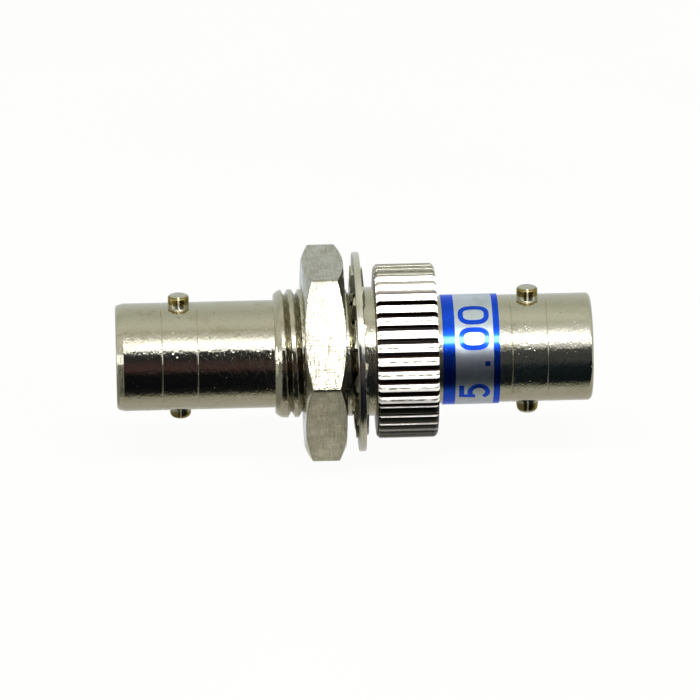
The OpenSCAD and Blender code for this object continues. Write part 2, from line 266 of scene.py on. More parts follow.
def squared(value, power):
    """A cosine or sine whose circle is drawn out towards its square."""
    return np.sign(value) * np.abs(value) ** power


def turned(profile, angles, relief=None):
    """Shell of a closed profile of (x, r) turned about X.

    Each point goes to x, r cos a, r sin a for the given angles a of a full turn,
    and relief(x, r, a) may lower r first.
    """
    x, r, a = np.broadcast_arrays(profile[:, :1], profile[:, 1:], angles)
    if relief is not None:
        r = r - relief(x, r, a)
    return shell(np.stack([x, r * np.cos(a), r * np.sin(a)], -1), True, True)


def open_band(section, angles, cap):
    """Shell of a section of (x, r) carried round X through less than a full turn.

    The quads of cap close the first end, and turned over the last.
    """
    x, r, a = np.broadcast_arrays(section[:, 0], section[:, 1], angles[:, None])
    far_cap = np.array(cap)[:, ::-1] + len(section) * (len(angles) - 1)
    return shell(np.stack([x, r * np.cos(a), r * np.sin(a)], -1), False, True,
                 np.array(cap), far_cap)


def softened(profile, radius):
    """Breaks each corner of an open profile: two points along its edges and their blend.

    The cut is at most a third of the shorter edge, and the first and last points stay.
    A guard point a little further along each edge keeps the shading of long edges flat.
    """
    profile = np.asarray(profile, float)
    before, at, after = profile[:-2], profile[1:-1], profile[2:]
    back, ahead = before - at, after - at
    back_len = np.linalg.norm(back, axis=1, keepdims=True)
    ahead_len = np.linalg.norm(ahead, axis=1, keepdims=True)
    cut = np.minimum(radius, np.minimum(back_len, ahead_len) / 3)
    guard = cut + 0.03 * MM
    one = at + back / back_len * cut
    three = at + ahead / ahead_len * cut
    two = one / 4 + at / 2 + three / 4
    guard_back = at + back * np.minimum(guard / back_len, 0.45)
    guard_ahead = at + ahead * np.minimum(guard / ahead_len, 0.45)
    middle = np.stack([guard_back, one, two, three, guard_ahead], 1).reshape(-1, 2)
    return np.concatenate([profile[:1], middle, profile[-1:]])


def arc(centre_x, centre_r, radius, from_deg, to_deg, steps):
    """Points (x, r) on an arc, its angle counted from the +r direction towards +x."""
    a = np.radians(np.linspace(from_deg, to_deg, steps + 1))
    return np.stack([centre_x + radius * np.sin(a), centre_r + radius * np.cos(a)], 1)


def swept_box(path, half_w, low, high, place, closed):
    """Shell of a flat stroke along a plane path, from low to high over its ground.

    Each path point gives a left and a right edge along its mitred normal, each at
    both heights, and place(u, v, height) puts them in space. Open ends are capped.
    """
    if closed:
        ahead = np.roll(path, -1, 0) - path
        back = path - np.roll(path, 1, 0)
    else:
        step = np.diff(path, axis=0)
        ahead = np.concatenate([step, step[-1:]])
        back = np.concatenate([step[:1], step])
    ahead /= np.linalg.norm(ahead, axis=1, keepdims=True)
    back /= np.linalg.norm(back, axis=1, keepdims=True)
    n1 = np.stack([-ahead[:, 1], ahead[:, 0]], 1)
    n2 = np.stack([-back[:, 1], back[:, 0]], 1)
    normal = (n1 + n2) / (1 + np.sum(n1 * n2, 1, keepdims=True))
    left, right = path + normal * half_w, path - normal * half_w
    corners = [place(left, low), place(left, high), place(right, high), place(right, low)]
    last = 4 * (len(path) - 1)
    caps = [] if closed else [np.array([[3, 2, 1, 0], [last, last + 1, last + 2, last + 3]])]
    return shell(np.stack(corners, 1), closed, True, *caps)


def prism_tool(name, low, high):
    """Closed prism between two equal outlines."""
    n = len(low)
    caps = [list(range(n))[::-1], list(range(n, 2 * n))]
    sides = grid_faces(2, n, False, True).tolist()
    mesh = new_mesh(name, np.concatenate([low, high]), sides + caps)
    mend(mesh, lambda work: bmesh.ops.recalc_face_normals(work, faces=work.faces))
    return link_object(name, mesh)


def apply_cuts(piece, cutters):
    """Cuts closed tool shapes out of a piece and keeps the result as its mesh."""
    for tool in cutters:
        cut = piece.modifiers.new("cut", "BOOLEAN")
        cut.operation, cut.solver, cut.object = "DIFFERENCE", "EXACT", tool
    bpy.context.view_layer.update()
    whole = piece.evaluated_get(bpy.context.evaluated_depsgraph_get())
    old, piece.data = piece.data, bpy.data.meshes.new_from_object(whole)
    piece.modifiers.clear()
    piece.data.name = old.name
    shapes = [old] + [tool.data for tool in cutters]
    for tool in cutters:
        bpy.data.objects.remove(tool)
    for mesh in shapes:
        bpy.data.meshes.remove(mesh)


# Material helpers

# What a word stands for in put: the kind of node, its settings, the inputs that take
# the values in order, and the output that comes back, or None for all its outputs.
NODES = {
    "object place": ("TexCoord", {}, (), "Object"),
    "own map": ("UVMap", {"uv_map": "place"}, (), "UV"),
    "parts": ("SeparateXYZ", {}, ("Vector",), None),
    "flat": ("CombineXYZ", {}, ("Y", "Z"), "Vector"),
    "length": ("VectorMath", {"operation": "LENGTH"}, (0,), "Value"),
    "scaled": ("VectorMath", {"operation": "MULTIPLY"}, (0, 1), "Vector"),
    "mapped": ("Mapping", {"vector_type": "POINT"}, ("Vector", "Location", "Scale"), "Vector"),
    "noise": ("TexNoise", {}, ("Vector", "Scale", "Detail", "Roughness"), "Fac"),
    "cells": ("TexVoronoi", {}, ("Vector", "Scale"), None),
    "red": ("SeparateColor", {}, ("Color",), "Red"),
    "mix": ("Mix", {"data_type": "RGBA"}, (0, 6, 7), 2),
    "step": ("MapRange", {"interpolation_type": "SMOOTHSTEP"},
             ("Value", "From Min", "From Max", "To Min", "To Max"), "Result"),
    "stops": ("ValToRGB", {}, ("Fac",), "Color"),
    "bump": ("Bump", {}, ("Height", "Distance", "Normal"), "Normal"),
    "shader": ("BsdfPrincipled", {}, (), "BSDF"),
    "glow": ("Emission", {}, ("Color", "Strength"), "Emission"),
    "both": ("MixShader", {}, (0, 1, 2), 0),
    "surface": ("OutputMaterial", {}, ("Surface",), None),
    "sky": ("Background", {}, ("Color", "Strength"), "Background"),
    "world": ("OutputWorld", {}, ("Surface",), None),
}
for operation in ("ADD", "SUBTRACT", "MULTIPLY", "MAXIMUM", "MINIMUM", "ABSOLUTE", "ARCTAN2",
                  "PINGPONG"):
    NODES[operation] = ("Math", {"operation": operation}, (0, 1), 0)


def feed(node, inputs):
    """Links or sets inputs of a node. A colour is sRGB hex or three linear numbers."""
    for key, value in inputs.items():
        socket = node.inputs[key]
        if isinstance(value, bpy.types.NodeSocket):
            node.id_data.links.new(value, socket)
            continue
        if isinstance(value, str):
            value = linear(value)
        socket.default_value = (*value, 1.0) if socket.type == "RGBA" else value


def put(tree, word, *values):
    """Adds the node that a word stands for and feeds it the values.

    Where there are more values than inputs, such as in a product of four, all but
    the last go into a node of the same kind first.
    """
    kind, settings, keys, output = NODES[word]
    if len(values) > len(keys):
        values = (put(tree, word, *values[:-1]), values[-1])
    node = tree.nodes.new("ShaderNode" + kind)
    for key, value in settings.items():
        setattr(node, key, value)
    feed(node, dict(zip(keys, values)))
    return node.outputs if output is None else node.outputs[output]


def emptied(holder):
    """Clears the nodes of a material or a world, and gives the way to add to them."""
    holder.use_nodes = True
    holder.node_tree.nodes.clear()
    return partial(put, holder.node_tree)


def new_material(name):
    """A material with the way to add nodes, its shader and its object coordinates."""
    material = bpy.data.materials.new(name)
    add = emptied(material)
    surface = add("shader")
    add("surface", surface)
    return material, add, surface.node, add("object place")


def fed(shader, key):
    """What is linked to an input so far."""
    return shader.inputs[key].links[0].from_socket


def dimmed(base, share):
    return [v * share for v in base]


def grain(add, place, size_mm, detail=2.0, stretch=(1, 1, 1), offset=(0, 0, 0)):
    """Noise whose lumps are about size_mm across, longer along an axis where stretch is over 1."""
    scale = [1 / (size_mm * MM * s) for s in stretch]
    return add("noise", add("mapped", place, offset, scale), 1.0, detail, 0.55)


def across(add, place):
    """X, and the distance from the axis."""
    xyz = add("parts", place)
    return xyz["X"], add("length", add("flat", xyz["Y"], xyz["Z"]))


def band(add, value, a, b, c, d):
    """One between b and c, falling softly to nothing at a and at d."""
    return add("MULTIPLY", add("step", value, a, b), add("step", value, c, d, 1.0, 0.0))


def nickel_plate(name, base, worn, roughness, peel_mm, ripple, pits=0.0, worn_at=()):
    """Nickel plated on turned brass.

    The eye sees a warm grey mirror with a slightly wavy skin, faint turning rings,
    small brownish stains, and duller, yellower metal where the plating is thin.
    Pits are small round dents in some cells of a random pattern, at most pits mm
    deep. They crowd at the places worn_at along the axis, and stay outside the bores.
    """
    material, add, shader, place = new_material(name)
    stains = add("step", grain(add, place, 1.6, 4.0), 0.52, 0.8)
    specks = add("step", grain(add, place, 0.22, 2.0, offset=(3, 1, 2)), 0.66, 0.74)
    dulled = add("MAXIMUM", add("MULTIPLY", stains, 0.55), add("MULTIPLY", specks, 0.5))
    spots = add("step", grain(add, place, 0.3, 2.0, offset=(5, 2, 7)), 0.71, 0.76)
    plate = add("mix", add("MULTIPLY", spots, 0.7), add("mix", dulled, base, worn),
                dimmed(worn, 0.2))
    rough = add("ADD", add("step", grain(add, place, 0.7, 3.0), 0.3, 0.8, 0.0, 0.08),
                add("MULTIPLY", specks, 0.12), roughness)
    skin = add("bump", grain(add, place, 0.09, 1.0, stretch=(1, 60, 60)), 0.0001 * MM)
    waves = add("ADD", grain(add, place, peel_mm, 0.0, stretch=(1, 1.5, 1.5)),
                add("MULTIPLY", grain(add, place, peel_mm * 3, 0.0), 1.2))
    if pits:
        x, radius = across(add, place)
        outside = add("step", radius, 3.3 * MM, 3.7 * MM)
        waves = add("MULTIPLY", add("SUBTRACT", waves, 1.1), outside)
    skin = add("bump", waves, ripple * MM, skin)
    if pits:
        cell = add("cells", add("scaled", place, [1 / (0.3 * MM)] * 3), 1.0)
        odds = add("red", cell["Color"])
        for spot in worn_at:
            off = add("ABSOLUTE", add("SUBTRACT", x, spot))
            odds = add("ADD", odds, add("step", off, 0.15 * MM, 0.45 * MM, 0.35, 0.0))
        hollow = add("step", cell["Distance"], 0.0, 0.34, 1.0, 0.0)
        pit = add("MULTIPLY", add("step", odds, 0.5, 1.1), hollow, outside)
        skin = add("bump", add("SUBTRACT", 1.0, pit), pits * MM, skin)
    feed(shader, {"Base Color": plate, "Metallic": 1.0, "Roughness": rough, "Normal": skin})
    return material, add, shader, place, plate


def body_material(finish, sizes):
    """Nickel plated brass of the bodies, rubbed at the pins, with painted shade deep in the
    thread.
    """
    spots = pin_spots()
    rubbed_and_glint = (spots["front_top_pin"][0] + 0.65 * MM, spots["rear_top_pin"][0] - 0.1 * MM)
    material, add, shader, place, plate = nickel_plate(
        "nickel plate on turned brass", finish.nickel, finish.worn_nickel,
        roughness=0.06, peel_mm=0.13, ripple=0.008, pits=0.017, worn_at=rubbed_and_glint)
    x, radius = across(add, place)
    bored = add("step", radius, 3.2 * MM, 3.4 * MM, 0.1, 0.0)
    crest, start, collar = sizes.thread_d / 2, thread_start(sizes), -sizes.collar_len
    # Painted shade: deep in the thread grooves the plate is mixed 30 % towards dark olive #4B4932.
    painted_shade = add("MULTIPLY", add("step", radius, crest - 0.36 * MM, crest - 0.16 * MM, 1.0, 0.0),
                add("step", x, start, start + 0.3 * MM),
                add("step", x, collar - 0.02 * MM, collar, 1.0, 0.0), 0.3)
    feed(shader, {"Roughness": add("ADD", fed(shader, "Roughness"), bored),
                  "Base Color": add("mix", painted_shade, plate, "#4B4932")})
    return material


def ring_material(finish, sizes, outer):
    """Satin nickel on a cut knurl: it scatters light, with painted shade, black, in the grooves.

    The way round from the nearest groove comes from the angle about the axis, and
    the painted groove shade starts a little below the ribs' crests. It is thin where the top of
    the ring faces the light. Low on the front the crests are painted dark as shade too, and only
    their upper flanks stay bright. Only the front of the knurl, which faces the lamp, gets the
    paler scattering satin bloom, a lit copy of the plate and so painted light; on the far side and
    on both faces of the ring plain nickel shows, a shade darker.
    """
    material, add, shader, place, plate = nickel_plate(
        "satin nickel on cut knurl", finish.satin_nickel, finish.worn_nickel,
        roughness=0.34, peel_mm=0.12, ripple=0.006)
    radius = across(add, place)[1]
    xyz = add("parts", place)
    y, z = xyz["Y"], xyz["Z"]
    on_knurl = add("step", radius, outer - 0.42 * MM, outer - 0.38 * MM)
    # Painted light: the front of the knurl scatters light and is paler than the far side, a lit
    # copy of the plate.
    lit_front_bloom = add("MULTIPLY", on_knurl, add("step", y, -1.15 * MM, -0.85 * MM, 1.0, 0.0))
    turn = add("SUBTRACT", add("ARCTAN2", z, y), sizes.rib_turn)
    half_pitch, half_mouth = rib_pitch(sizes, outer) / 2, sizes.groove_w / 2
    away = add("PINGPONG", add("MULTIPLY", turn, outer), half_pitch)
    middle = add("step", away, half_pitch - 0.12 * MM, half_pitch - 0.03 * MM)
    dashes = add("step", grain(add, place, 0.1, 3.0, stretch=(5, 1, 1)), 0.36, 0.54)
    crest = add("mix", add("MULTIPLY", middle, dashes, on_knurl),
                add("mix", lit_front_bloom, dimmed(finish.nickel, 0.85), plate),
                dimmed(finish.worn_nickel, 0.2))
    # Painted shade: low on the front the rib crests are painted near black, #1C211B.
    low = add("step", z, -2.35 * MM, -1.95 * MM, 1.0, 0.0)
    on_crest = add("step", away, half_mouth + 0.02 * MM, half_mouth + 0.06 * MM)
    shaded = add("MULTIPLY", low, add("step", z, -5.9 * MM, -5.5 * MM), on_crest, lit_front_bloom, on_knurl)
    ragged = add("ADD", away, add("MULTIPLY", grain(add, place, 0.15, 3.0), 0.06 * MM))
    near = add("MULTIPLY", add("step", ragged, half_mouth + 0.07 * MM, half_mouth + 0.1 * MM,
                               1.0, 0.0), on_knurl)
    # Painted shade in the grooves, black-brown #160D0A: thin at the top where the ring faces the
    # light, and kept off the lit upper flanks low on the front.
    deep = add("step", radius, outer - 0.2 * MM, outer - 0.13 * MM, 1.0, 0.0)
    high = add("step", z, 5.3 * MM, 5.7 * MM, 1.0, 0.1)
    lit = add("MULTIPLY", add("MAXIMUM", add("SUBTRACT", high, low), deep), high)
    painted_shade = add("MULTIPLY", near, lit, add("step", lit_front_bloom, 0.0, 1.0, 0.45, 1.0))
    scattering = add("SUBTRACT", add("MULTIPLY", add("SUBTRACT", 1.0, near), lit_front_bloom),
                     add("MULTIPLY", shaded, 0.95))
    feed(shader, {
        "Base Color": add("mix", painted_shade, add("mix", shaded, crest, "#1C211B"), "#160D0A"),
        "Metallic": add("SUBTRACT", 1.0, add("MAXIMUM", scattering, painted_shade)),
        "Specular IOR Level": 0.12})
    return material


def nut_material(finish, sizes):
    """Bright nickel on milled hexagon flats, scratched in a fine hatch both ways.

    The scratches are lines of noise, long along the axis or round it, that are both
    shallow grooves and darker than the plate. Real ones are finer, and these are drawn
    0.1 mm wide so that they show. They thin out towards the top, and the chamfer next
    to the washer is painted dark as shade, where the nut and washer meet.
    """
    material, add, shader, place, plate = nickel_plate(
        "bright nickel on milled hexagon", finish.bright_nickel, finish.worn_nickel,
        roughness=0.08, peel_mm=0.5, ripple=0.0015)
    height = add("parts", place)["Z"]
    share = add("MULTIPLY", add("step", height, -0.3 * MM, 0.1 * MM, 0.3, 1.0),
                add("step", height, 0.5 * MM, 7.0 * MM, 1.0, 0.55))
    lines = [add("step", grain(add, place, size, 2.0, stretch=stretch), 0.44, 0.62)
             for stretch, size in (((16, 1, 1), 0.1), ((1, 16, 16), 0.1), ((1, 5, 5), 0.16))]
    patches = add("step", grain(add, place, 1.1, 2.0), 0.25, 0.55, 0.3, 1.0)
    hatch = add("MULTIPLY", add("MAXIMUM", *lines), patches, share)
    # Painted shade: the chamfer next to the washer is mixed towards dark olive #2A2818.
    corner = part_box("panel_nut")[1]
    x, radius = across(add, place)
    over = add("MULTIPLY", add("SUBTRACT", radius, corner.z), math.tan(sizes.nut_chamfer))
    past_edge = add("ADD", add("SUBTRACT", x, corner.x), over)
    painted_shade = add("step", past_edge, -0.05 * MM, -0.01 * MM, 0.0, 0.7)
    hatched = add("mix", hatch, plate, dimmed(finish.worn_nickel, 0.62))
    feed(shader, {
        "Base Color": add("mix", painted_shade, hatched, "#2A2818"),
        "Normal": add("bump", add("SUBTRACT", 1.0, hatch), 0.002 * MM, fed(shader, "Normal"))})
    return material


def washer_material(finish, outer):
    """Nickel plated spring bronze, stamped and tumbled: satin faces and a smoother outer edge, its
    colour lifted as a painted highlight.
    """
    material, add, shader, place, plate = nickel_plate(
        "tumbled nickel on spring bronze", finish.nickel, finish.worn_nickel,
        roughness=0.3, peel_mm=0.25, ripple=0.006)
    # Partly painted highlight: the outer edge is smoother and fully metallic, and its colour is
    # lifted to pale #DFDDD2.
    edge = add("step", across(add, place)[1], outer - 0.06 * MM, outer - 0.02 * MM)
    feed(shader, {
        "Base Color": add("mix", edge, plate, "#DFDDD2"),
        "Metallic": add("step", edge, 0.0, 1.0, 0.93, 1.0),
        "Roughness": add("SUBTRACT", fed(shader, "Roughness"), add("MULTIPLY", edge, 0.2))})
    return material


def pin_material(finish):
    """Pins whose thin nickel is worn to brass round the tip and stays on top and at the foot.

    A pale, less metallic line runs down the front of each pin: a painted highlight.
    """
    material, add, shader, place, plate = nickel_plate(
        "worn nickel on brass pins", finish.nickel, finish.worn_nickel,
        roughness=0.2, peel_mm=0.3, ripple=0.01)
    xyz = add("parts", place)
    height = add("ABSOLUTE", xyz["Z"])
    ragged = add("ADD", height, add("MULTIPLY", grain(add, place, 0.3, 3.0), 0.1 * MM))
    bare = add("MULTIPLY", add("step", ragged, 4.2 * MM, 4.28 * MM),
               add("step", height, 4.765 * MM, 4.775 * MM, 1.0, 0.0))
    off = [add("ABSOLUTE", add("SUBTRACT", xyz["X"], x))
           for x in sorted({spot[0] for spot in pin_spots().values()})]
    # Painted highlight: a pale line down the front of each pin, #F2ECD8.
    line = add("step", add("MINIMUM", *off), 0.03 * MM, 0.1 * MM, 1.0, 0.0)
    front = add("step", xyz["Y"], -0.6 * MM, -0.4 * MM, 1.0, 0.0)
    rubbed_and_glint = add("MULTIPLY", line, front, 0.35)
    feed(shader, {
        "Base Color": add("mix", rubbed_and_glint, add("mix", bare, plate, finish.brass), "#F2ECD8"),
        "Metallic": add("SUBTRACT", 1.0, rubbed_and_glint)})
    return material


def foil_material(name, base, roughness, coat):
    """Printed metal foil under a clear film: satin, slightly crinkled, with lines round it.

    The rolling lines of real foil are finer, and these are drawn as coarse as shows.
    """
    material, add, shader, place = new_material(name)
    tone = add("step", grain(add, place, 0.9, 3.0), 0.3, 0.8)
    brush = grain(add, place, 0.07, 2.0, stretch=(1, 12, 12))
    lines = add("bump", brush, 0.00008 * MM)
    feed(shader, {
        "Base Color": add("mix", tone, base, dimmed(base, 0.82)), "Metallic": 1.0,
        "Specular Tint": [v ** 0.3 for v in base],
        "Coat Weight": coat, "Coat Roughness": 0.085, "Coat IOR": 1.33,
        "Roughness": add("step", brush, 0.2, 0.8, roughness - 0.02, roughness + 0.03),
        "Normal": add("bump", grain(add, place, 1.6, 1.0), 0.005 * MM, lines)})
    return material


def ceramic_material(finish):
    """Polished zirconia: off-white, glossy, with faint grinding lines along its length.

    Real grinding lines are finer, and these are drawn as coarse as shows.
    """
    material, add, shader, place = new_material("polished zirconia")
    shade = add("mix", grain(add, place, 0.8, 3.0), finish.zirconia, "#D9D6CB")
    lines = grain(add, place, 0.05, 2.0, stretch=(40, 1, 1))
    feed(shader, {"Base Color": shade, "Roughness": 0.18, "IOR": 2.1,
                  "Normal": add("bump", lines, 0.0005 * MM)})
    return material


def steel_material(finish):
    """Turned stainless steel: cool grey with fine rings round the axis."""
    material, add, shader, place = new_material("turned stainless steel")
    rings = grain(add, place, 0.06, 2.0, stretch=(1, 60, 60))
    feed(shader, {"Base Color": add("mix", rings, finish.steel, "#7A7C7E"), "Metallic": 1.0,
                  "Roughness": add("step", rings, 0.2, 0.8, 0.22, 0.34),
                  "Normal": add("bump", rings, 0.0015 * MM)})
    return material


def glass_material(name, base, ior):
    """Polished optical glass: clear, with a faint ripple of its ground side."""
    material, add, shader, place = new_material(name)
    feed(shader, {"Base Color": add("mix", grain(add, place, 0.6, 2.0), base, dimmed(base, 0.95)),
                  "Roughness": 0.03, "IOR": ior, "Transmission Weight": 1.0,
                  "Normal": add("bump", grain(add, place, 0.2, 2.0), 0.0006 * MM)})
    return material


# Shapes of the bodies. The bores for the lens tube and for the sleeve holders meet at
# the shoulder, a depth behind the mouth, and the register is where the rear body sits
# in the front one. The play is between parts, and the ease softens turned edges.

SHOULDER, TUBE_R, HOLDER_R, REGISTER_R = 11.2 * MM, 2.82 * MM, 2.22 * MM, 3.5 * MM
PLAY, EASE = 0.02 * MM, 0.04 * MM
THREAD_FLANK = math.tan(math.radians(30))


def thread_start(sizes):
    return -sizes.collar_len - sizes.thread_len


def rib_pitch(sizes, outer):
    """Way round the ring from one groove to the next."""
    return 2 * math.pi * outer / sizes.rib_count


def rim_points(sizes, tapered):
    """Way in from the mouth and drop below the barrel's surface, along its outer rim.

    A plain rim is a quarter round. A tapered rim is an arc that runs on into a
    straight slope, and the slope ends in a border line on the barrel.
    """
    if tapered:
        radius, slope = sizes.rim_corner, sizes.rim_slope
        a = np.linspace(math.pi / 2, slope, 9)
        high = (sizes.rim_taper - radius * (1 - math.sin(slope))) * math.tan(slope)
        drop = high + radius * (math.cos(slope) - np.cos(a))
        border = [[sizes.rim_taper, 0.008 * MM], [sizes.rim_taper + 0.012 * MM, 0]]
        return np.concatenate([np.stack([radius * (1 - np.sin(a)), drop], 1), border])
    a = np.linspace(math.pi / 2, 0, 11)
    return sizes.rim_round * np.stack([1 - np.sin(a), 1 - np.cos(a)], 1)


def barrel(sizes, mouth, way, pin_x, tapered):
    """Profile of a barrel: inside from its shoulder to its mouth, then outside past
    its two turned marks, drawn as depths behind the mouth."""
    bore, chamber = sizes.mouth_bore_d / 2, sizes.chamber_d / 2
    outer, half = sizes.barrel_d / 2, sizes.mark_w / 2
    inside = [[SHOULDER, TUBE_R], [SHOULDER, HOLDER_R],
              [sizes.floor_depth, HOLDER_R], [sizes.floor_depth, chamber],
              [sizes.mouth_bore_depth, chamber], [sizes.mouth_bore_depth, bore],
              [sizes.mouth_lead, bore], [0, bore + sizes.mouth_lead]]
    marks = []
    for side in (-1, 1):
        middle = abs(pin_x - mouth) + side * sizes.mark_from_pins
        marks += [[middle - half, outer], [middle - half / 3, outer - sizes.mark_depth],
                  [middle + half / 3, outer - sizes.mark_depth], [middle + half, outer]]
    rim = rim_points(sizes, tapered) * [1, -1] + [0, outer]
    return np.concatenate([inside, rim, marks]) * [way, 1] + [mouth, 0]


def helical_groove(sizes, start, end):
    """Relief of a right-hand thread.

    Where the turn is t, the groove's middle lies at start + pitch t. A point belongs
    to the nearest turn, and its relief is the depth less its distance from that
    middle over tan 30 degrees. The depth fades over the first and last half turn.
    """
    pitch, crest = sizes.thread_pitch, sizes.thread_d / 2
    last = (end - start) / pitch

    def relief(x, r, a):
        share = a / (2 * math.pi)
        turn = np.round((x - start) / pitch - share) + share
        gap = np.abs(x - start - pitch * turn)
        fade = np.clip(np.minimum(turn + 0.35, last - turn) / 0.45, 0, 1)
        depth = sizes.thread_depth * fade * fade * (3 - 2 * fade)
        on_thread = (r > crest - sizes.thread_drop * 0.98) & (x > start - pitch) & (x < end)
        on_thread &= r < crest + 0.001 * MM
        left = crest - np.clip(depth - gap / THREAD_FLANK, 0, None)
        return np.where(on_thread, np.clip(r - left, 0, None), 0)

    return relief


def keyway_tool(sizes, mouth, way):
    """Prism of a keyway: a slot with a half-round end, drawn from the axis out to +Y."""
    half, before, low_y = sizes.keyway_w / 2, -1 * MM, 1.5 * MM
    a = np.radians(np.linspace(-90, 90, 25))
    end = np.stack([sizes.keyway_len - half + half * np.cos(a), half * np.sin(a)], 1)
    depth, z = np.concatenate([[[before, -half]], end, [[before, half]]]).T
    low = np.stack([mouth + way * depth, np.full(len(z), low_y), z], 1)
    return prism_tool("keyway tool", low, low + [0, sizes.barrel_d / 2, 0])


def hole_tool(sizes, x):
    """Cylinder across the axis for a pair of pin holes."""
    a, r = full_turn(32), sizes.pin_shank_d / 2 + PLAY
    low = np.stack([x + r * np.cos(a), r * np.sin(a), np.full(32, -sizes.barrel_d)], 1)
    return prism_tool("pin hole tool", low, low + [0, 0, 2 * sizes.barrel_d])


def make_body(context, node, profile, mouth, way, pin_x, relief=None):
    """Turns a body, cuts its keyway and its pin holes, and finishes it."""
    sizes, finish = settings(context)
    closed_piece(node + "_dressed", [turned(profile, full_turn(192), relief)],
                 (body_material(finish, sizes), "body", "nickel_plated_brass", node),
                 sharp_deg=38, cutters=[keyway_tool(sizes, mouth, way), hole_tool(sizes, pin_x)])


def pin_spots():
    """Middle x of each bayonet pin, its side along Z, and the reach of its tip."""
    spots = {}
    for node in ("front_top_pin", "front_bottom_pin", "rear_top_pin", "rear_bottom_pin"):
        low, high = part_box(node)
        side = 1 if high.z > 0 else -1
        spots[node] = ((low.x + high.x) / 2, side, max(abs(low.z), abs(high.z)))
    return spots


class ATTENUATOR_OT_front_body(bpy.types.Operator):
    """Makes the front body with its socket, thread and collar"""
    bl_idname = "attenuator.front_body"
    bl_label = "Front body"

    def execute(self, context):
        sizes = settings(context)[0]
        mouth, pin_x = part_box("front_body")[0].x, pin_spots()["front_top_pin"][0]
        start, collar = thread_start(sizes), -sizes.collar_len
        crest, collar_r, spigot_r = sizes.thread_d / 2, sizes.collar_d / 2, sizes.spigot_d / 2
        floor_r, spigot_floor, row_step = crest - sizes.thread_drop, 0.78 * MM, 0.034 * MM
        lead = softened(np.concatenate([
            barrel(sizes, mouth, 1, pin_x, True),
            [[start, sizes.barrel_d / 2], [start, floor_r - 0.03 * MM],
             [start, floor_r - 0.01 * MM]]]), EASE)
        along = np.linspace(start + 0.01 * MM, collar - EASE, int((collar - start) / row_step))
        left = np.clip(1 - (along - start) / sizes.thread_crown, 0, 1)
        threaded = np.stack([along, crest - sizes.thread_drop * left ** 2.2], 1)
        tail = softened([
            [collar - 0.02 * MM, crest], [collar, crest + 0.01 * MM], [collar, collar_r],
            [0, collar_r], [0, spigot_r], [sizes.spigot_len, spigot_r],
            [sizes.spigot_len, REGISTER_R + PLAY], [spigot_floor, REGISTER_R + PLAY],
            [spigot_floor, TUBE_R]], 0.06 * MM)
        relief = helical_groove(sizes, start + sizes.thread_plain, collar - 0.1 * MM)
        make_body(context, "front_body", np.concatenate([lead, threaded, tail]), mouth, 1, pin_x,
                  relief)
        return {"FINISHED"}


class ATTENUATOR_OT_rear_body(bpy.types.Operator):
    """Makes the rear body with its socket and the flange inside the ring"""
    bl_idname = "attenuator.rear_body"
    bl_label = "Rear body"

    def execute(self, context):
        sizes = settings(context)[0]
        low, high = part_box("rear_body")
        pin_x = pin_spots()["rear_top_pin"][0]
        flange_end, flange_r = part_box("knurled_ring")[1].x - 1.02 * MM, sizes.flange_d / 2
        flange_start = sizes.spigot_len + PLAY
        profile = softened(np.concatenate([
            barrel(sizes, high.x, -1, pin_x, False),
            [[flange_end, sizes.barrel_d / 2], [flange_end, flange_r], [flange_start, flange_r],
             [flange_start, REGISTER_R], [low.x, REGISTER_R], [low.x, TUBE_R]]]), EASE)
        make_body(context, "rear_body", profile, high.x, -1, pin_x)
        return {"FINISHED"}


